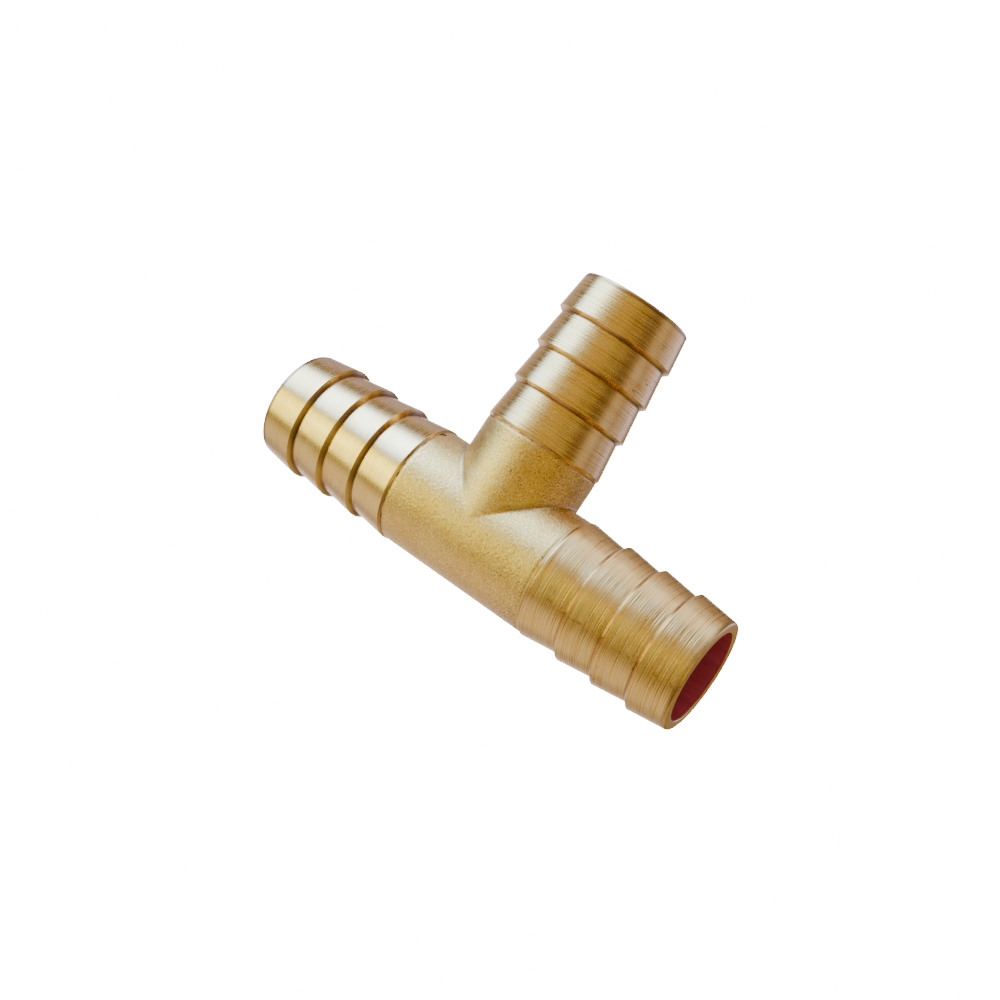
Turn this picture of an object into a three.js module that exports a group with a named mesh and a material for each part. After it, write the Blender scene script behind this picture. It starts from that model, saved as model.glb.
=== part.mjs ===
// A barbed hose tee in brass, 19 mm (3/4 in) size: a forged body with three sockets, three turned
// hose tails that plug into them, and the rings of filler metal that close the joints.
// Millimetres. +X runs along the straight run, +Y along the branch, +Z up. The tee lies flat on its
// barb crests, and the origin is on the ground under the middle of its outline.
import * as THREE from "three";
import { ParametricGeometry } from "three/addons/geometries/ParametricGeometry.js";
import { mergeGeometries, mergeVertices } from "three/addons/utils/BufferGeometryUtils.js";

// Overall sizes. Distances along an arm are measured from the point where the three axes meet.
const RUN_REACH = 41.0; // to the mouth of either run tail
const BRANCH_EXTRA = 1.6; // the branch socket, and so its tail, stands this much further out
const BORE_RADIUS = 7.7;
const AROUND = 40; // facets round each arm, a multiple of four

// The barbs, the same on every tail.
const CREST_RADIUS = 10.25;
const ROOT_RADIUS = 9.45;
const BARB_PITCH = 6.55; // crest to crest
const LAST_PITCH = 6.95; // from the third crest to the one beside the body
const BARB_COUNT = 4;
const FIRST_CREST = RUN_REACH - 6.55; // the crest nearest the mouth
const BARB_BACK = 0.65; // length of the steep face behind a crest

// The mouth of a tail.
const MOUTH_RADIUS = 9.4;
const MOUTH_ROUND = 0.5; // radius of the rounded outer edge
const MOUTH_BREAK = 0.2; // chamfer on the bore's edge
const ROUND_STEPS = 4;

// The joint between a tail and the body.
const SHOULDER = 14.0; // the tail's shoulder face
const SHOULDER_RADIUS = 10.0;
const SPIGOT_RADIUS = 8.85;
const SPIGOT_LENGTH = 4.1;
const SPIGOT_CHAMFER = 0.4;
const FILLER_THICKNESS = 0.3;
const FILLER_RADIUS = 9.9;
const SOCKET_RADIUS = 8.95;
const SOCKET_GAP = 0.3; // left between the spigot's end and the socket's floor

// The forged body.
const BODY_RADIUS = 10.05;
const BODY_MOUTH = SHOULDER - FILLER_THICKNESS;
const SOCKET_FLOOR = SHOULDER - SPIGOT_LENGTH - SOCKET_GAP;
const FILLET = 0.5; // width of the fillet in the two crotches
const FILLET_FADE = 1.2; // how soon it reaches that width, going round from the flush top
const SKIN_STEPS = [0, 0.06, 0.13, 0.22, 0.34, 0.5, 0.75, 1]; // rows of the skin, mitre to mouth

// Each arm is drawn standing along +Y and then turned about Z into its place. mitre gives the
// distance at which the arm's skin meets its neighbours', for a point x across the upright arm.
const ARMS = [
  {
    tail: "run_tail_right",
    filler: "filler_ring_right",
    turn: -Math.PI / 2,
    extra: 0,
    mitre: (x) => Math.max(-x, 0),
  },
  {
    tail: "run_tail_left",
    filler: "filler_ring_left",
    turn: Math.PI / 2,
    extra: 0,
    mitre: (x) => Math.max(x, 0),
  },
  {
    tail: "branch_tail",
    filler: "filler_ring_branch",
    turn: 0,
    extra: BRANCH_EXTRA,
    mitre: (x) => Math.abs(x),
  },
];

const forgedBrass = new THREE.MeshStandardMaterial({ color: 0xc39a55, roughness: 0.5, metalness: 1 });
const turnedBrass = new THREE.MeshStandardMaterial({ color: 0xcfa64e, roughness: 0.28, metalness: 1 });
const fillerMetal = new THREE.MeshStandardMaterial({ color: 0xb4713f, roughness: 0.42, metalness: 1 });

// A closed ring of points, each [radius, distance along the arm], spun round the arm's axis.
function spin(outline) {
  const points = outline.map(([radius, along]) => new THREE.Vector2(radius, along));
  points.push(points[0].clone());
  return new THREE.LatheGeometry(points, AROUND);
}

// A hose tail: spigot, shoulder, barbs rising away from the mouth, rounded mouth and through bore.
function tailGeometry() {
  const spigotEnd = SHOULDER - SPIGOT_LENGTH;
  const outline = [
    [BORE_RADIUS, spigotEnd],
    [SPIGOT_RADIUS - SPIGOT_CHAMFER, spigotEnd],
    [SPIGOT_RADIUS, spigotEnd + SPIGOT_CHAMFER],
    [SPIGOT_RADIUS, SHOULDER],
    [SHOULDER_RADIUS, SHOULDER],
    [CREST_RADIUS, FIRST_CREST - (BARB_COUNT - 2) * BARB_PITCH - LAST_PITCH],
  ];
  for (let barb = BARB_COUNT - 2; barb >= 0; barb -= 1) {
    const crest = FIRST_CREST - barb * BARB_PITCH;
    outline.push([ROOT_RADIUS, crest - BARB_BACK]);
    outline.push([CREST_RADIUS, crest]);
  }
  for (let step = 0; step <= ROUND_STEPS; step += 1) {
    const angle = (step / ROUND_STEPS) * (Math.PI / 2);
    const radius = MOUTH_RADIUS - MOUTH_ROUND * (1 - Math.cos(angle));
    const along = RUN_REACH - MOUTH_ROUND * (1 - Math.sin(angle));
    outline.push([radius, along]);
  }
  outline.push([BORE_RADIUS + MOUTH_BREAK, RUN_REACH]);
  outline.push([BORE_RADIUS, RUN_REACH - MOUTH_BREAK]);
  return spin(outline);
}

// The ring of filler metal between the body's mouth face and the tail's shoulder.
function fillerGeometry() {
  return spin([
    [SOCKET_RADIUS, BODY_MOUTH],
    [FILLER_RADIUS, BODY_MOUTH],
    [FILLER_RADIUS, SHOULDER],
    [SOCKET_RADIUS, SHOULDER],
  ]);
}

// How far a point lies outside the body: two crossing cylinders of one radius, whose crotch is
// filled. The fillet fades out where the two cylinders run into each other flush, above and below.
function outside(point) {
  const fromRun = Math.hypot(point.y, point.z);
  const run = fromRun - BODY_RADIUS;
  if (point.y <= 0) return run;
  const fromBranch = Math.hypot(point.x, point.z);
  const branch = fromBranch - BODY_RADIUS;
  const turned = 1 - point.z ** 2 / (fromRun * fromBranch);
  const width = Math.min(FILLET, FILLET_FADE * turned);
  const overlap = width - Math.abs(run - branch);
  if (overlap <= 0) return Math.min(run, branch);
  return Math.min(run, branch) - overlap ** 2 / (4 * width);
}

// Moves a point straight out of the metal onto the filleted surface.
function settle(point) {
  const probe = 1e-4;
  const slope = new THREE.Vector3();
  for (let pass = 0; pass < 6; pass += 1) {
    for (const axis of ["x", "y", "z"]) {
      const ahead = point.clone();
      const behind = point.clone();
      ahead[axis] += probe;
      behind[axis] -= probe;
      slope[axis] = (outside(ahead) - outside(behind)) / (2 * probe);
    }
    point.addScaledVector(slope, -outside(point) / slope.lengthSq());
  }
}

// One arm of the body as a single skin: from the mitre outside, along to the mouth, and back
// through the socket and the bore to the mitre inside.
function armSkin({ turn, extra, mitre }) {
  const mouth = BODY_MOUTH + extra;
  const floor = SOCKET_FLOOR + extra;
  const rows = [
    ...SKIN_STEPS.map((step) => ({ radius: BODY_RADIUS, step, end: mouth })),
    { radius: SOCKET_RADIUS, step: 1, end: mouth },
    { radius: SOCKET_RADIUS, step: 1, end: floor },
    { radius: BORE_RADIUS, step: 1, end: floor },
    { radius: BORE_RADIUS, step: 0, end: floor },
  ];
  const last = rows.length - 1;
  const place = (u, v, target) => {
    const { radius, step, end } = rows[Math.round(v * last)];
    const x = radius * Math.sin(u * 2 * Math.PI);
    const z = radius * Math.cos(u * 2 * Math.PI);
    const along = THREE.MathUtils.lerp(mitre(x), end, step);
    target.x = x * Math.cos(turn) - along * Math.sin(turn);
    target.y = x * Math.sin(turn) + along * Math.cos(turn);
    target.z = z;
    if (radius === BODY_RADIUS) settle(target);
  };
  return new ParametricGeometry(place, AROUND, last);
}

// The body: three arm skins welded along their mitres.
function bodyGeometry() {
  const skins = ARMS.map(armSkin);
  for (const skin of skins) {
    skin.deleteAttribute("normal");
    skin.deleteAttribute("uv");
  }
  const body = mergeVertices(mergeGeometries(skins), 1e-4);
  body.computeVertexNormals();
  return body;
}

function piece(name, geometry, material) {
  const mesh = new THREE.Mesh(geometry, material);
  mesh.name = name;
  return mesh;
}

const tee = new THREE.Group();
tee.position.set(0, (CREST_RADIUS - RUN_REACH - BRANCH_EXTRA) / 2, CREST_RADIUS);
tee.add(piece("tee_body", bodyGeometry(), forgedBrass));

for (const { tail, filler, turn, extra } of ARMS) {
  const arm = new THREE.Group();
  arm.rotation.z = turn;
  arm.position.y = extra;
  arm.add(piece(tail, tailGeometry(), turnedBrass));
  arm.add(piece(filler, fillerGeometry(), fillerMetal));
  tee.add(arm);
}

export default tee;
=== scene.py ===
import math

import bmesh
import bpy
from mathutils import Matrix, Vector, noise


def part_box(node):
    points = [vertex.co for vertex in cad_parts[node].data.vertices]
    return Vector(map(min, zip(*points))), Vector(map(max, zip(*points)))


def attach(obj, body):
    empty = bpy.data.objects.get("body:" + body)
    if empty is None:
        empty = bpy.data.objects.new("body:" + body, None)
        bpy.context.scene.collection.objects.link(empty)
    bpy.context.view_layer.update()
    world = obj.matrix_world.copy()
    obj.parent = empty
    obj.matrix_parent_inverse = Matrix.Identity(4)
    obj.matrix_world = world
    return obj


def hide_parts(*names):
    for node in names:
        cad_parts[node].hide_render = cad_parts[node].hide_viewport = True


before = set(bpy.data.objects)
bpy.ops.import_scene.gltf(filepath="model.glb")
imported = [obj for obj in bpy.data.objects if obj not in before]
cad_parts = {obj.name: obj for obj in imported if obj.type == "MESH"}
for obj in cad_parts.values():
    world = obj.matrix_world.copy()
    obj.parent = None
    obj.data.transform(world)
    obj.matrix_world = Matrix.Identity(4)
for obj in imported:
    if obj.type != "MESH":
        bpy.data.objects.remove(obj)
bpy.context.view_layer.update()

mm = 0.001

# ---------------------------------------------------------------- sizes
# A brass hose tee: a forged body, three turned hose tails and the filler metal in their joints.
# Overall sizes come from the frame. Distances along an arm are measured from the point where the
# three axes meet.
tail_low, tail_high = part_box("run_tail_right")
_, branch_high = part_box("branch_tail")
body_low, body_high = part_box("tee_body")
CREST = (tail_high[2] - tail_low[2]) / 2
CENTRE = Vector((0, (tail_low[1] + tail_high[1]) / 2, (tail_low[2] + tail_high[2]) / 2))
REACH = tail_high[0]
BRANCH_EXTRA = branch_high[1] - CENTRE.y - REACH
BODY = (body_high[2] - body_low[2]) / 2
BODY_MOUTH = body_high[0]

SPIGOT_END = tail_low[0]
FILLER_THICKNESS = 0.3 * mm
SHOULDER = BODY_MOUTH + FILLER_THICKNESS
BORE = 7.7 * mm
SPIGOT = 8.85 * mm
SPIGOT_CHAMFER = 0.4 * mm
SHOULDER_RADIUS = 10.0 * mm
ROOT = 9.45 * mm
PITCH = 6.55 * mm
LAST_PITCH = 6.95 * mm
BARBS = 4
FIRST_CREST = REACH - PITCH
BARB_BACK = 0.65 * mm
MOUTH = 9.4 * mm
SOCKET = 8.95 * mm
SOCKET_GAP = 0.3 * mm
SOCKET_FLOOR = SPIGOT_END - SOCKET_GAP
FILLET = 0.5 * mm
FILLET_FADE = 1.2 * mm
FILLER_TOP = {"right": 10.03 * mm, "left": 9.95 * mm, "branch": 9.97 * mm}  # outer radii

# Small roundings of the edges.
HIDDEN_EDGE = 0.05 * mm
SHOULDER_EDGE = 0.03 * mm
CREST_EDGE = 0.035 * mm
LAST_CREST_EDGE = 0.12 * mm
ROOT_CORNER = 0.08 * mm
MOUTH_EDGE = 0.5 * mm
BORE_EDGE = 0.25 * mm
FILLER_EDGE = 0.02 * mm
LIP = 0.05 * mm

# Marks in the surfaces.
TOOL_MARK_DEPTH = 0.0012 * mm
TOOL_MARK_SPACING = 0.35 * mm
TOOL_FEED = 0.37 * mm
PINHOLES_AT = (63, 83)  # degrees round the left joint, from its top towards the branch
PINHOLE_DEPTH = 0.5 * mm
PINHOLE_WIDTH = 3.0  # degrees from its middle to its edge
PINHOLE_SHADE_TO = 0.38 * mm  # the brass round it is painted black this far from its middle, painted shade that stands for the hole,
PINHOLE_SHADE_GONE_FROM = 0.55 * mm  # and the painted black has faded out from here on
SCUFFS_AT = 0.34  # the line of scuffs, as x over z in a tail's own frame

# How finely the meshes are divided.
ARC_STEPS = 5
TAIL_AROUND = 192
FILLER_AROUND = 360
TAIL_STEP = 0.17 * mm
BODY_AROUND = 160
SKIN_ROWS = 34
BORE_ROWS = 10
SLACK = 0.02 * mm  # a face this close to the bore's radius is part of the bore

# Each arm stands along +Y in its own frame and is turned about Z into place.
ARMS = {
    "right": {"turn": -math.pi / 2, "extra": 0.0, "mitre": lambda x: max(-x, 0.0)},
    "left": {"turn": math.pi / 2, "extra": 0.0, "mitre": lambda x: max(x, 0.0)},
    "branch": {"turn": 0.0, "extra": BRANCH_EXTRA, "mitre": abs},
}


# ---------------------------------------------------------------- meshes
def rounded(corners):
    """Points of a closed outline whose corners, each (radius, along, rounding), are arcs."""
    most_of_side = 0.35
    guard = 0.15  # a point this far beyond either end of an arc keeps its shading off the flats
    points = []
    count = len(corners)
    for index, (radius, along, rounding) in enumerate(corners):
        here = Vector((radius, along))
        before = Vector(corners[index - 1][:2]) - here
        after = Vector(corners[(index + 1) % count][:2]) - here
        if rounding == 0:
            points.append(here)
            continue
        half = before.angle(after) / 2
        longest = min(before.length, after.length) * most_of_side
        back = min(rounding / math.tan(half), longest)
        start = here + before.normalized() * back
        end = here + after.normalized() * back
        points.append(start + (start - here) * guard)
        for step in range(ARC_STEPS + 1):
            t = step / ARC_STEPS
            points.append(start.lerp(here, t).lerp(here.lerp(end, t), t))
        points.append(end + (end - here) * guard)
    return points


def divided(points, longest):
    """The same closed outline with extra points, so that no step is longer than longest."""
    result = []
    for index, point in enumerate(points):
        following = points[(index + 1) % len(points)]
        parts = max(1, math.ceil((following - point).length / longest))
        for part in range(parts):
            result.append(point.lerp(following, part / parts))
    return result


def spun(name, outline, around, shift=None):
    """A closed outline of (radius, along) spun round local Y, each radius moved by what shift
    says, if there is one."""
    mesh = bpy.data.meshes.new(name)
    vertices = []
    for radius, along in outline:
        for turn in range(around):
            angle = 2 * math.pi * turn / around
            r = radius + (shift(angle, radius, along) if shift else 0.0)
            vertices.append((r * math.sin(angle), along, r * math.cos(angle)))
    faces = []
    rows = len(outline)
    for row in range(rows):
        below = (row + 1) % rows
        for turn in range(around):
            beside = (turn + 1) % around
            faces.append((row * around + turn, row * around + beside,
                          below * around + beside, below * around + turn))
    mesh.from_pydata(vertices, [], faces)
    mesh.shade_smooth()
    return mesh


def placed(mesh, arm):
    """An object made of that mesh, in the arm's place."""
    piece = bpy.data.objects.new(mesh.name, mesh)
    piece.location = CENTRE + Vector((0, ARMS[arm]["extra"], 0))
    piece.rotation_euler.z = ARMS[arm]["turn"]
    bpy.context.scene.collection.objects.link(piece)
    return piece


def tool_mark(angle, radius, along):
    """Rings that the lathe tool left on the barbs, about a thousandth of a millimetre deep."""
    deepest = ROOT - 0.01 * mm
    on_barbs = radius >= deepest and along <= REACH - MOUTH_EDGE
    if not on_barbs:
        return 0.0
    place_in_noise = Vector((along / TOOL_MARK_SPACING, 0.3, 0.7))
    return TOOL_MARK_DEPTH * noise.noise(place_in_noise)


def pinholes(angle, radius, along):
    """Two pinholes in the left joint, on the side towards the branch."""
    on_outside = radius >= (SOCKET + FILLER_TOP["left"]) / 2
    if not on_outside:
        return 0.0
    off = min(abs(math.degrees(angle) - at) for at in PINHOLES_AT)
    return -PINHOLE_DEPTH * max(0.0, 1 - off / PINHOLE_WIDTH)


def tail_outline():
    """A hose tail's closed outline: spigot, shoulder, barbs, mouth and bore."""
    last_crest = FIRST_CREST - (BARBS - 2) * PITCH - LAST_PITCH
    corners = [
        (BORE, SPIGOT_END, HIDDEN_EDGE),
        (SPIGOT - SPIGOT_CHAMFER, SPIGOT_END, HIDDEN_EDGE),
        (SPIGOT, SPIGOT_END + SPIGOT_CHAMFER, HIDDEN_EDGE),
        (SPIGOT, SHOULDER, HIDDEN_EDGE),
        (SHOULDER_RADIUS, SHOULDER, SHOULDER_EDGE),
        (CREST, last_crest, LAST_CREST_EDGE),
    ]
    for barb in range(BARBS - 2, -1, -1):
        crest = FIRST_CREST - barb * PITCH
        corners.append((ROOT, crest - BARB_BACK, ROOT_CORNER))
        corners.append((CREST, crest, CREST_EDGE))
    corners.append((MOUTH, REACH, MOUTH_EDGE))
    corners.append((BORE, REACH, BORE_EDGE))
    return divided(rounded(corners), TAIL_STEP)


def filler_outline(arm):
    """A filler ring's closed outline, between the body's mouth and the tail's shoulder."""
    return rounded([
        (SOCKET, BODY_MOUTH, 0),
        (FILLER_TOP[arm], BODY_MOUTH, FILLER_EDGE),
        (FILLER_TOP[arm], SHOULDER, FILLER_EDGE),
        (SOCKET, SHOULDER, 0),
    ])


def outside(x, y, z):
    """How far a point lies outside the body: two crossing cylinders with a fillet in the crotch."""
    from_run = math.hypot(y, z)
    run = from_run - BODY
    if y <= 0:
        return run
    from_branch = math.hypot(x, z)
    branch = from_branch - BODY
    width = min(FILLET, FILLET_FADE * (1 - z * z / (from_run * from_branch)))
    overlap = width - abs(run - branch)
    if overlap <= 0:
        return min(run, branch)
    return min(run, branch) - overlap * overlap / (4 * width)


def settled(x, y, z):
    """The point moved straight onto the filleted surface, in a few steps."""
    probe = 1e-7
    for _ in range(4):
        here = outside(x, y, z)
        slope_x = (outside(x + probe, y, z) - outside(x - probe, y, z)) / (2 * probe)
        slope_y = (outside(x, y + probe, z) - outside(x, y - probe, z)) / (2 * probe)
        slope_z = (outside(x, y, z + probe) - outside(x, y, z - probe)) / (2 * probe)
        move = here / (slope_x ** 2 + slope_y ** 2 + slope_z ** 2)
        x -= slope_x * move
        y -= slope_y * move
        z -= slope_z * move
    return x, y, z


def body_rows(mouth, floor):
    """Rows of an arm's skin, each (radius, share of the way from the mitre, where the way ends)."""
    crowding = 1.3  # the rows lie closer together near the mitre
    rows = []
    for row in range(SKIN_ROWS + 1):
        rows.append((BODY, (row / SKIN_ROWS) ** crowding, mouth - LIP))
    lip_middle = LIP * 0.3
    rows.append((BODY - lip_middle, 1, mouth - lip_middle))
    rows.append((BODY - LIP, 1, mouth))
    rows.append((SOCKET, 1, mouth))
    rows.append((SOCKET, 1, floor))
    rows.append((BORE, 1, floor))
    for row in range(1, BORE_ROWS + 1):
        rows.append((BORE, 1 - row / BORE_ROWS, floor))
    return rows


def body_point(arm, angle, radius, share, end):
    """A point of the body's skin, turned into the arm's place."""
    x = radius * math.sin(angle)
    z = radius * math.cos(angle)
    start = arm["mitre"](x)
    along = start + (end - start) * share
    cosine = math.cos(arm["turn"])
    sine = math.sin(arm["turn"])
    point = (x * cosine - along * sine, x * sine + along * cosine, z)
    if radius == BODY:
        point = settled(*point)
    return point


def body_mesh():
    """The body: three arms' skins, outside and bore, welded along their mitres."""
    weld = 2e-6
    mesh = bpy.data.meshes.new("forged_body")
    build = bmesh.new()
    for arm in ARMS.values():
        grid = []
        for radius, share, end in body_rows(BODY_MOUTH + arm["extra"], SOCKET_FLOOR + arm["extra"]):
            ring = []
            for turn in range(BODY_AROUND):
                angle = 2 * math.pi * turn / BODY_AROUND
                ring.append(build.verts.new(body_point(arm, angle, radius, share, end)))
            grid.append(ring)
        for upper, lower in zip(grid, grid[1:]):
            for turn in range(BODY_AROUND):
                beside = (turn + 1) % BODY_AROUND
                build.faces.new((upper[turn], lower[turn], lower[beside], upper[beside]))
    bmesh.ops.remove_doubles(build, verts=build.verts, dist=weld)
    bmesh.ops.recalc_face_normals(build, faces=build.faces)
    build.to_mesh(mesh)
    build.free()
    mesh.shade_smooth()
    return mesh


# ---------------------------------------------------------------- materials
class Recipe:
    """A node material in the making. Each call adds nodes and returns their output."""

    def __init__(self, name):
        self.material = bpy.data.materials.new(name)
        self.material.use_nodes = True
        self.tree = self.material.node_tree
        self.shader = self.tree.nodes["Principled BSDF"]
        self.place = self.tree.nodes.new("ShaderNodeTexCoord").outputs["Object"]

    def feed(self, socket, value):
        """Link the socket to another node's output, or set it to a plain value."""
        if isinstance(value, bpy.types.NodeSocket):
            self.tree.links.new(value, socket)
        else:
            socket.default_value = value

    def math(self, operation, first, second=0.0):
        node = self.tree.nodes.new("ShaderNodeMath")
        node.operation = operation
        self.feed(node.inputs[0], first)
        self.feed(node.inputs[1], second)
        return node.outputs[0]

    def scaled(self, scale, offset=(0, 0, 0)):
        """The place on the object, stretched for a noise with other scales along X, Y and Z."""
        node = self.tree.nodes.new("ShaderNodeMapping")
        self.feed(node.inputs["Vector"], self.place)
        node.inputs["Scale"].default_value = scale
        node.inputs["Location"].default_value = offset
        return node.outputs[0]

    def noise(self, vector, scale=1.0, detail=2.0, roughness=0.5):
        node = self.tree.nodes.new("ShaderNodeTexNoise")
        self.feed(node.inputs["Vector"], vector)
        node.inputs["Scale"].default_value = scale
        node.inputs["Detail"].default_value = detail
        node.inputs["Roughness"].default_value = roughness
        return node.outputs["Fac"]

    def ramp(self, value, low, high, at_low=0.0, at_high=1.0):
        """Goes from at_low, where value is low, to at_high, where it is high, and stays there."""
        node = self.tree.nodes.new("ShaderNodeMapRange")
        self.feed(node.inputs["Value"], value)
        self.feed(node.inputs["From Min"], low)
        self.feed(node.inputs["From Max"], high)
        node.inputs["To Min"].default_value = at_low
        node.inputs["To Max"].default_value = at_high
        return node.outputs["Result"]

    def mix(self, factor, first, second):
        """The first colour where factor is 0, the second where it is 1."""
        node = self.tree.nodes.new("ShaderNodeMix")
        node.data_type = "RGBA"
        self.feed(node.inputs["Factor"], factor)
        for name, colour in (("A", first), ("B", second)):
            plain = not isinstance(colour, bpy.types.NodeSocket)
            self.feed(node.inputs[name], (*colour, 1) if plain else colour)
        return node.outputs["Result"]

    def parts(self):
        """X, Y and Z of the place on the object. Y runs along a tail's axis."""
        node = self.tree.nodes.new("ShaderNodeSeparateXYZ")
        self.feed(node.inputs[0], self.place)
        return node.outputs[0], node.outputs[1], node.outputs[2]

    def length(self, first, second):
        first_squared = self.math("MULTIPLY", first, first)
        second_squared = self.math("MULTIPLY", second, second)
        return self.math("SQRT", self.math("ADD", first_squared, second_squared))

    def from_axis(self):
        """Distance from local Y, the axis of an arm."""
        x, _, z = self.parts()
        return self.length(x, z)

    def from_run(self):
        """Distance from local X, the axis of the run in the body's frame."""
        _, y, z = self.parts()
        return self.length(y, z)

    def distance(self, point):
        node = self.tree.nodes.new("ShaderNodeVectorMath")
        node.operation = "DISTANCE"
        self.feed(node.inputs[0], self.place)
        node.inputs[1].default_value = point
        return node.outputs["Value"]

    def bump(self, height, distance, under=None):
        """The normal over that relief, laid over the bump under it if there is one."""
        node = self.tree.nodes.new("ShaderNodeBump")
        node.inputs["Distance"].default_value = distance
        self.feed(node.inputs["Height"], height)
        if under:
            self.feed(node.inputs["Normal"], under)
        return node.outputs[0]

    def finish(self, colour, roughness, normal, metallic=1.0):
        """Feed the shader and give the material back."""
        self.feed(self.shader.inputs["Base Color"], colour)
        self.feed(self.shader.inputs["Roughness"], roughness)
        self.feed(self.shader.inputs["Metallic"], metallic)
        self.feed(self.shader.inputs["Normal"], normal)
        return self.material


BRASS = (0.80, 0.47, 0.10)
PALE_BRASS = (0.86, 0.56, 0.16)
FORGED_BRASS = (0.79, 0.485, 0.085)
FORGED_PALE = (0.86, 0.57, 0.13)
# A darker brass for random patches and grain on the forging, and for painted shade in the tool lines of
# turned brass.
DEEP_BRASS_AND_LINE_SHADE = (0.62, 0.33, 0.05)
BRIGHT_BRASS = (0.96, 0.68, 0.24)
# Real stains, specks and scuffs, and also the painted shade along the body's crease.
STAIN_AND_SHADE = (0.12, 0.06, 0.025)
# Dirt and painted shade in the corners under the barbs.
CORNER_DIRT_AND_SHADE = (0.18, 0.085, 0.045)
# Painted shade in and round the pinholes.
PINHOLE_SHADE_COLOUR = (0.02, 0.012, 0.010)
BORE_RED = (0.27, 0.021, 0.024)
BORE_PALE_RED = (0.36, 0.030, 0.034)

# Heights of the fine reliefs.
TURNED_GRAIN = 0.012 * mm
FORGED_PITS = 0.045 * mm
FORGED_GRAIN = 0.070 * mm
BRAZE_LUMPS = 0.03 * mm
FILM_STREAKS = 0.02 * mm

# How strongly the shine on turned brass is drawn out, and its turn as a share of a full one.
SHINE_STRETCH = 0.55
SHINE_TURN = 0.25


def lathe_relief(r, fine, along):
    """Rings of tool lines: fine uneven ones, and regular ones a feed apart that wander a little."""
    broad = r.noise(r.scaled((60, 1500, 60), (3, 1, 2)), detail=1)
    turns = r.math("MULTIPLY", along, 2 * math.pi / TOOL_FEED)
    wander = r.math("MULTIPLY", broad, 9.0)
    feed_marks = r.math("SINE", r.math("ADD", turns, wander))
    relief = r.math("ADD", fine, r.math("MULTIPLY", broad, 0.15))
    return r.math("ADD", relief, r.math("MULTIPLY", feed_marks, 0.16))


def dirt_and_shade_in_corners(r, along):
    """Dirt and painted shade in the corner under each barb, which thin out up the step and along the
    cone.
    """
    back_from_corner = r.math("SUBTRACT", FIRST_CREST - BARB_BACK, along)
    phase = r.math("FRACT", r.math("DIVIDE", back_from_corner, PITCH))
    up_step = r.ramp(phase, 1 - 0.9 * BARB_BACK / PITCH, 1 - 0.2 * BARB_BACK / PITCH)
    on_cone = r.ramp(phase, 0.04 * mm / PITCH, 0.22 * mm / PITCH, 1.0, 0.0)
    beyond_joint = r.ramp(along, SHOULDER + 1.5 * mm, SHOULDER + 2.0 * mm)
    corner_dirt_and_shade = r.math("MULTIPLY", r.math("MAXIMUM", up_step, on_cone), beyond_joint)
    patchy = r.ramp(r.noise(r.scaled((160, 160, 160), (1, 5, 2)), detail=3), 0.3, 0.55, 0.45, 0.9)
    return r.math("MULTIPLY", corner_dirt_and_shade, patchy)


def small_stains(r):
    """Small smears, drawn out round the axis, in a few places."""
    marks = r.noise(r.scaled((900, 2600, 900), (2, 2, 8)), detail=2)
    where = r.noise(r.scaled((150, 300, 150), (9, 4, 1)), detail=2)
    return r.math("MULTIPLY", r.ramp(marks, 0.60, 0.66), r.ramp(where, 0.60, 0.70))


def line_of_scuffs(r, x, z):
    """Scuffs in a line along the cones, about a fifth of the way round from their top to their side."""
    aside = r.math("ABSOLUTE", r.math("SUBTRACT", r.math("DIVIDE", x, z), SCUFFS_AT))
    rubbed = r.noise(r.scaled((1100, 900, 1100), (5, 0, 3)), detail=2)
    scuffed = r.math("MULTIPLY", r.ramp(aside, 0.02, 0.09, 1.0, 0.0), r.ramp(rubbed, 0.54, 0.64))
    return r.math("MULTIPLY", scuffed, r.ramp(z, 0, 1 * mm))


def draw_out_shine(r):
    """The shine is drawn out across the tool lines."""
    tangent = r.tree.nodes.new("ShaderNodeTangent")
    tangent.direction_type = "RADIAL"
    tangent.axis = "Y"
    r.feed(r.shader.inputs["Tangent"], tangent.outputs[0])
    r.shader.inputs["Anisotropic"].default_value = SHINE_STRETCH
    r.shader.inputs["Anisotropic Rotation"].default_value = SHINE_TURN


def turned_brass(name, lines, line_shade, roughness, corner_dirt_and_shade, stains, scuffs):
    """Brass off a lathe. lines is the depth of the tool lines; the next number is how dark the tool
    lines are painted, painted shade that stands for the dark their slopes reflect;
    the next says how strong the dirt and painted shade in the barb corners are, and stains and scuffs
    say how strong those are."""
    r = Recipe(name)
    x, along, z = r.parts()
    fine = r.noise(r.scaled((90, 3700, 90)), detail=1, roughness=0.6)
    grain = r.noise(r.scaled((2500, 4500, 2500)), detail=1)
    cloud = r.noise(r.place, scale=260, detail=3)
    normal = r.bump(lathe_relief(r, fine, along), lines)
    normal = r.bump(grain, TURNED_GRAIN, normal)

    colour = r.mix(r.ramp(cloud, 0.3, 0.7), BRASS, PALE_BRASS)
    # Painted shade: the tool lines are darkened, standing for the dark that their slopes reflect.
    colour = r.mix(r.math("MULTIPLY", r.ramp(fine, 0.5, 0.3), line_shade), colour, DEEP_BRASS_AND_LINE_SHADE)
    # Dirt and painted shade: darker in the corner under each barb and up its step.
    colour = r.mix(r.math("MULTIPLY", dirt_and_shade_in_corners(r, along), corner_dirt_and_shade), colour, CORNER_DIRT_AND_SHADE)
    colour = r.mix(r.math("MULTIPLY", small_stains(r), stains), colour, STAIN_AND_SHADE)
    colour = r.mix(r.math("MULTIPLY", line_of_scuffs(r, x, z), scuffs), colour, STAIN_AND_SHADE)

    draw_out_shine(r)
    return r.finish(colour, r.ramp(fine, 0.3, 0.7, roughness - 0.03, roughness + 0.04), normal)


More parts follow.
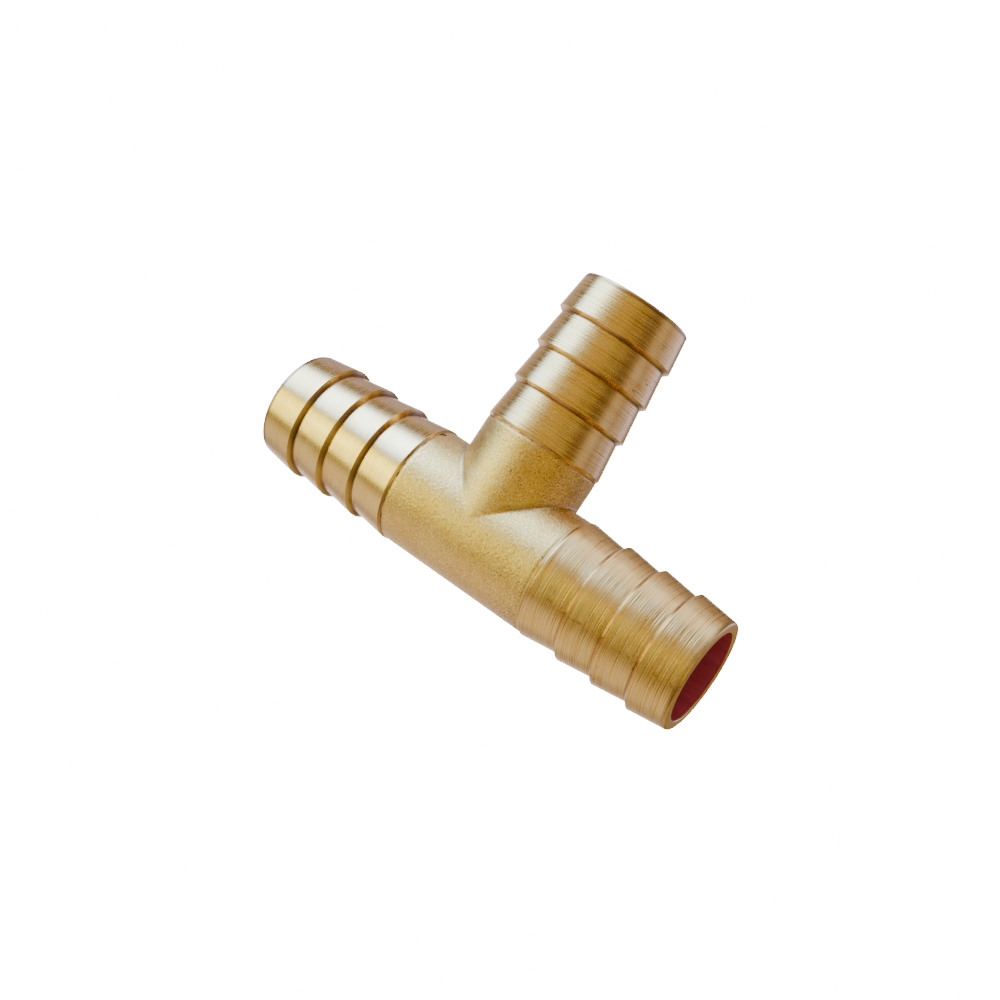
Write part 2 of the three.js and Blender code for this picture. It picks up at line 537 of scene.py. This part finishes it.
def brown_specks(r, x, wide):
    """Scattered specks, more of them in some patches and towards the right seam."""
    by_right_seam = r.ramp(x, 6 * mm, 14 * mm, 0.0, 0.09)
    spots = r.noise(r.scaled((3300, 3300, 3300), (4, 4, 4)), detail=1)
    least = r.math("SUBTRACT", r.ramp(wide, 0.35, 0.65, 0.72, 0.62), by_right_seam)
    return r.ramp(spots, least, r.math("ADD", least, 0.08))


def shade_in_crotch(r, y):
    """Painted shade along the crease where the skins of the run and the branch meet."""
    from_crease = r.math("SUBTRACT", r.math("MAXIMUM", r.from_axis(), r.from_run()), BODY)
    near = r.ramp(from_crease, 0.05 * mm, 0.7 * mm, 0.55, 0.0)
    return r.math("MULTIPLY", near, r.ramp(y, 3 * mm, 5 * mm))


def shade_round_pinhole(r, at):
    """Painted black round a pinhole, on the rim of the left mouth: painted shade that stands for the
    hole.
    """
    turn = math.radians(at)
    hole = Vector((0.1 * mm - BODY_MOUTH, BODY * math.sin(turn), BODY * math.cos(turn)))
    return r.ramp(r.distance(hole), PINHOLE_SHADE_TO, PINHOLE_SHADE_GONE_FROM, 1.0, 0.0)


def forged_brass():
    """Tumbled forging: a satin skin with a fine grain, cloudy patches and scattered brown specks."""
    r = Recipe("forged_brass")
    x, y, _ = r.parts()
    grain = r.noise(r.place, scale=4200, detail=2, roughness=0.6)
    pits = r.noise(r.place, scale=1500, detail=2)
    cloud = r.noise(r.place, scale=420, detail=3)
    wide = r.noise(r.place, scale=110, detail=2)
    normal = r.bump(pits, FORGED_PITS)
    normal = r.bump(grain, FORGED_GRAIN, normal)

    colour = r.mix(r.ramp(cloud, 0.35, 0.65), FORGED_BRASS, FORGED_PALE)
    colour = r.mix(r.ramp(wide, 0.4, 0.7, 0.0, 0.4), colour, DEEP_BRASS_AND_LINE_SHADE)
    colour = r.mix(r.ramp(grain, 0.55, 0.32), colour, DEEP_BRASS_AND_LINE_SHADE)
    colour = r.mix(r.ramp(grain, 0.56, 0.70), colour, BRIGHT_BRASS)
    colour = r.mix(r.math("MULTIPLY", brown_specks(r, x, wide), 0.6), colour, STAIN_AND_SHADE)
    # Painted shade: the body darkens towards the crease between run and branch.
    colour = r.mix(shade_in_crotch(r, y), colour, STAIN_AND_SHADE)
    # Painted shade: black round each pinhole, standing for the hole.
    for at in PINHOLES_AT:
        colour = r.mix(shade_round_pinhole(r, at), colour, PINHOLE_SHADE_COLOUR)
    return r.finish(colour, r.ramp(cloud, 0.3, 0.7, 0.30, 0.38), normal)


def filler_metal(name, dark, light):
    """The braze at a joint: a thin uneven line between body and tail, painted black at the bottom of
    its pinholes as shade.
    """
    r = Recipe(name)
    lumps = r.noise(r.place, scale=900, detail=3)
    colour = r.mix(r.ramp(lumps, 0.35, 0.65), dark, light)
    # Painted shade: everything nearer the axis than 9.65 to 9.85 mm, the pits of the pinholes, is
    # painted black.
    shade_inside_pinhole = r.ramp(r.from_axis(), 9.65 * mm, 9.85 * mm, 1.0, 0.0)
    colour = r.mix(shade_inside_pinhole, colour, PINHOLE_SHADE_COLOUR)
    roughness = r.ramp(lumps, 0.3, 0.7, 0.35, 0.55)
    return r.finish(colour, roughness, r.bump(lumps, BRAZE_LUMPS))


def bore_red():
    """The bores: dark red all over, with faint streaks along the axis."""
    r = Recipe("bore_red")
    streaks = r.noise(r.scaled((700, 90, 700)), detail=3)
    colour = r.mix(r.ramp(streaks, 0.3, 0.7), BORE_RED, BORE_PALE_RED)
    roughness = r.ramp(streaks, 0.3, 0.7, 0.45, 0.6)
    r.shader.inputs["Specular IOR Level"].default_value = 0.3
    return r.finish(colour, roughness, r.bump(streaks, FILM_STREAKS), metallic=0.0)


FORGED = forged_brass()
RED = bore_red()
TURNED = {
    "right": turned_brass("turned_brass_right", lines=0.040 * mm, line_shade=0.8, roughness=0.29,
                          corner_dirt_and_shade=0.6, stains=0.6, scuffs=0.4),
    "left": turned_brass("turned_brass_left", lines=0.012 * mm, line_shade=0.3, roughness=0.25,
                         corner_dirt_and_shade=1.0, stains=0.2, scuffs=0.0),
    "branch": turned_brass("turned_brass_branch", lines=0.020 * mm, line_shade=0.7, roughness=0.27,
                           corner_dirt_and_shade=0.9, stains=0.7, scuffs=0.0),
}
FILLER = {
    "right": filler_metal("filler_right", dark=(0.70, 0.40, 0.08), light=(0.84, 0.54, 0.16)),
    # The left ring's near-black is partly painted shadow, for the shadow in the left joint's groove;
    # the rest is the braze's own colour.
    "left": filler_metal("filler_left", dark=(0.10, 0.05, 0.02), light=(0.60, 0.36, 0.12)),
    "branch": filler_metal("filler_branch", dark=(0.34, 0.15, 0.04), light=(0.78, 0.42, 0.12)),
}


# ---------------------------------------------------------------- pieces
def line_bore(mesh, from_axis):
    """Give the faces inside a bore the bore's own material."""
    mesh.materials.append(RED)
    for face in mesh.polygons:
        if from_axis(face.center) < BORE + SLACK:
            face.material_index = 1


def from_nearer_axis(at):
    """Distance from the axis of the run or, on the branch's side, of the branch if it is nearer."""
    from_run = math.hypot(at.y, at.z)
    if at.y <= 0:
        return from_run
    return min(from_run, math.hypot(at.x, at.z))


def make_body():
    """The forged body, its bores coloured dark red."""
    body = bpy.data.objects.new("forged_body", body_mesh())
    body.location = CENTRE
    bpy.context.scene.collection.objects.link(body)
    body.data.materials.append(FORGED)
    line_bore(body.data, from_nearer_axis)
    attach(body, "root")
    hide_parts("tee_body")


def make_tail(arm, node):
    """An arm's turned hose tail, in place of that CAD node."""
    tail = placed(spun("hose_tail_" + arm, tail_outline(), TAIL_AROUND, tool_mark), arm)
    tail.data.materials.append(TURNED[arm])
    line_bore(tail.data, lambda at: math.hypot(at.x, at.z))
    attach(tail, "root")
    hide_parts(node)


def make_filler(arm):
    """The ring of braze in an arm's joint."""
    shift = pinholes if arm == "left" else None
    ring = placed(spun("filler_" + arm, filler_outline(arm), FILLER_AROUND, shift), arm)
    ring.data.materials.append(FILLER[arm])
    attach(ring, "root")
    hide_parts("filler_ring_" + arm)


make_body()
for arm, node in (("right", "run_tail_right"), ("left", "run_tail_left"), ("branch", "branch_tail")):
    make_tail(arm, node)
    make_filler(arm)

# ---------------------------------------------------------------- camera
# Where the camera looks, from which side, and how far it is rolled about its own line of sight.
AIM = CENTRE + Vector((-1.132, 5.185, 0.403)) * mm
AZIMUTH = math.radians(1.777)
ELEVATION = math.radians(67.47)
ROLL = math.radians(-58.26)
DISTANCE = 219.12 * mm
LENS = 50.0
SENSOR = 36.0
NEAREST = 0.01


def direction(azimuth, elevation):
    """The unit vector towards that side, both angles in radians."""
    level = math.cos(elevation)
    return Vector((level * math.cos(azimuth), level * math.sin(azimuth), math.sin(elevation)))


def make_camera():
    """The camera at its place, looking at AIM."""
    back = direction(AZIMUTH, ELEVATION)
    across = Vector((0, 0, 1)).cross(back).normalized()
    upright = back.cross(across)
    right = across * math.cos(ROLL) + upright * math.sin(ROLL)
    up = back.cross(right)
    facing = Matrix((right, up, back)).transposed().to_4x4()
    camera = bpy.data.objects.new("camera", bpy.data.cameras.new("camera"))
    camera.matrix_world = Matrix.Translation(AIM + back * DISTANCE) @ facing
    camera.data.lens = LENS
    camera.data.sensor_width = SENSOR
    camera.data.clip_start = NEAREST
    bpy.context.scene.collection.objects.link(camera)
    return camera


bpy.context.scene.camera = make_camera()

# ---------------------------------------------------------------- floor
FLOOR_HALF = 3.0
WHITE = (1, 1, 1, 1)
PAPER = (0.9, 0.9, 0.9, 1)
BACKDROP = 20.0  # radiance of the plain white floor and of the plain white behind it


def white_paper():
    """Paper so evenly lit that no shadow shows on it."""
    paper = bpy.data.materials.new("white_paper")
    paper.use_nodes = True
    sheet = paper.node_tree.nodes["Principled BSDF"]
    sheet.inputs["Base Color"].default_value = PAPER
    sheet.inputs["Roughness"].default_value = 0.9
    sheet.inputs["Specular IOR Level"].default_value = 0.0
    sheet.inputs["Emission Color"].default_value = WHITE
    sheet.inputs["Emission Strength"].default_value = BACKDROP
    return paper


def make_floor():
    """A floor that the metal does not reflect and that lights nothing: the world does all that."""
    mesh = bpy.data.meshes.new("floor")
    sides = ((-1, -1), (1, -1), (1, 1), (-1, 1))
    mesh.from_pydata([(x * FLOOR_HALF, y * FLOOR_HALF, 0) for x, y in sides], [], [(0, 1, 2, 3)])
    floor = bpy.data.objects.new("floor", mesh)
    bpy.context.scene.collection.objects.link(floor)
    floor.data.materials.append(white_paper())
    floor.visible_glossy = False
    floor.visible_diffuse = False


make_floor()

# ---------------------------------------------------------------- light
# What the metal reflects is a dim warm room with soft glows where the lamps are. Each glow has the
# azimuth and elevation of its middle, the angles inside which it is full and outside which it is
# gone, and its radiance. A negative one is a dark card.
ROOM = (0.24, 0.185, 0.095)
GLOWS = [
    (145, 25, 14, 26, (4.6, 8.3, 24.0)),
    (134, 11, 6, 16, (1.0, 1.4, 4.0)),
    (121, 11, 4, 13, (0.6, 0.95, 2.4)),
    (125, 36, 7, 18, (3.2, 4.7, 11.0)),
    (98, 14, 7, 25, (1.55, 1.90, 3.7)),
    (100, -9, 8, 22, (0.85, 0.95, 1.7)),
    (106, -31, 8, 28, (0.28, 0.26, 0.40)),
    (-175, 46, 6, 13, (4.0, 4.9, 2.6)),
    (-154, 38, 6, 17, (4.0, 4.8, 2.6)),
    (-178, 56, 6, 22, (1.3, 1.5, 0.3)),
    (-150, 62, 10, 30, (0.20, 0.21, 0.12)),
    (-108, 5, 18, 36, (0.84, 0.84, 1.02)),
    (-99, -38, 8, 28, (0.35, 0.33, 0.45)),
    (-93, 54, 12, 32, (0.20, 0.18, 0.12)),
    (-138, 20, 6, 22, (0.26, 0.30, 0.26)),
    (-143, -22, 15, 40, (0.28, 0.31, 0.50)),
    (-9, 44, 10, 26, (0.75, 0.68, 0.22)),
    (-50, -28, 15, 36, (0.42, 0.38, 0.22)),
    (50, -20, 8, 20, (0.40, 0.32, 0.15)),
    (22, 27, 6, 14, (-0.12, -0.12, -0.02)),
    (-8, 2, 7, 17, (0.42, 0.37, 0.22)),
    (16, -6, 5, 18, (0.52, 0.54, 1.0)),
    (25, -33, 4, 16, (0.58, 0.60, 1.4)),
    (42, -55, 9, 21, (1.0, 1.1, 2.8)),
    (-12, -78, 8, 18, (0.14, 0.11, 0.07)),
    (65, 14, 12, 30, (0.33, 0.35, 0.5)),
    (80, 72, 15, 35, (0.45, 0.37, 0.11)),
    (159, -22, 8, 22, (0.42, 0.43, 0.72)),
    (-165, -60, 14, 36, (1.3, 1.2, 1.4)),
    (134, -32, 8, 22, (0.30, 0.31, 0.72)),
]
# What the matt bores are lit by: an even white, so that they have their own colour from all sides.
SOFT_LIGHT = 1.0


def glow(tree, towards, azimuth, elevation, full, gone):
    """How much of a glow is seen towards each side, from 0 to 1."""
    dot = tree.nodes.new("ShaderNodeVectorMath")
    dot.operation = "DOT_PRODUCT"
    tree.links.new(towards, dot.inputs[0])
    dot.inputs[1].default_value = direction(math.radians(azimuth), math.radians(elevation))
    share = tree.nodes.new("ShaderNodeMapRange")
    share.interpolation_type = "SMOOTHSTEP"
    share.inputs["From Min"].default_value = math.cos(math.radians(gone))
    share.inputs["From Max"].default_value = math.cos(math.radians(full))
    tree.links.new(dot.outputs["Value"], share.inputs["Value"])
    return share.outputs["Result"]


def glowing_room(tree):
    """The radiance that the metal reflects, towards each side: the room and all its glows."""
    towards = tree.nodes.new("ShaderNodeTexCoord").outputs["Generated"]
    total = None
    for azimuth, elevation, full, gone, radiance in GLOWS:
        add = tree.nodes.new("ShaderNodeVectorMath")
        add.operation = "MULTIPLY_ADD"
        tree.links.new(glow(tree, towards, azimuth, elevation, full, gone), add.inputs[0])
        add.inputs[1].default_value = radiance
        if total is None:
            add.inputs[2].default_value = ROOM
        else:
            tree.links.new(total, add.inputs[2])
        total = add.outputs["Vector"]
    return total


def studio():
    """The glowing room for reflections, an even white for matt surfaces, and a white backdrop."""
    world = bpy.data.worlds.new("studio")
    world.use_nodes = True
    tree = world.node_tree
    sky = tree.nodes["Background"]
    tree.links.new(glowing_room(tree), sky.inputs["Color"])
    path = tree.nodes.new("ShaderNodeLightPath")
    for test, strength in (("Is Diffuse Ray", SOFT_LIGHT), ("Is Camera Ray", BACKDROP)):
        plain = tree.nodes.new("ShaderNodeBackground")
        plain.inputs["Color"].default_value = WHITE
        plain.inputs["Strength"].default_value = strength
        either = tree.nodes.new("ShaderNodeMixShader")
        tree.links.new(path.outputs[test], either.inputs[0])
        tree.links.new(sky.outputs[0], either.inputs[1])
        tree.links.new(plain.outputs[0], either.inputs[2])
        sky = either
    tree.links.new(sky.outputs[0], tree.nodes["World Output"].inputs["Surface"])
    world.cycles.sampling_method = "NONE"
    return world


bpy.context.scene.world = studio()
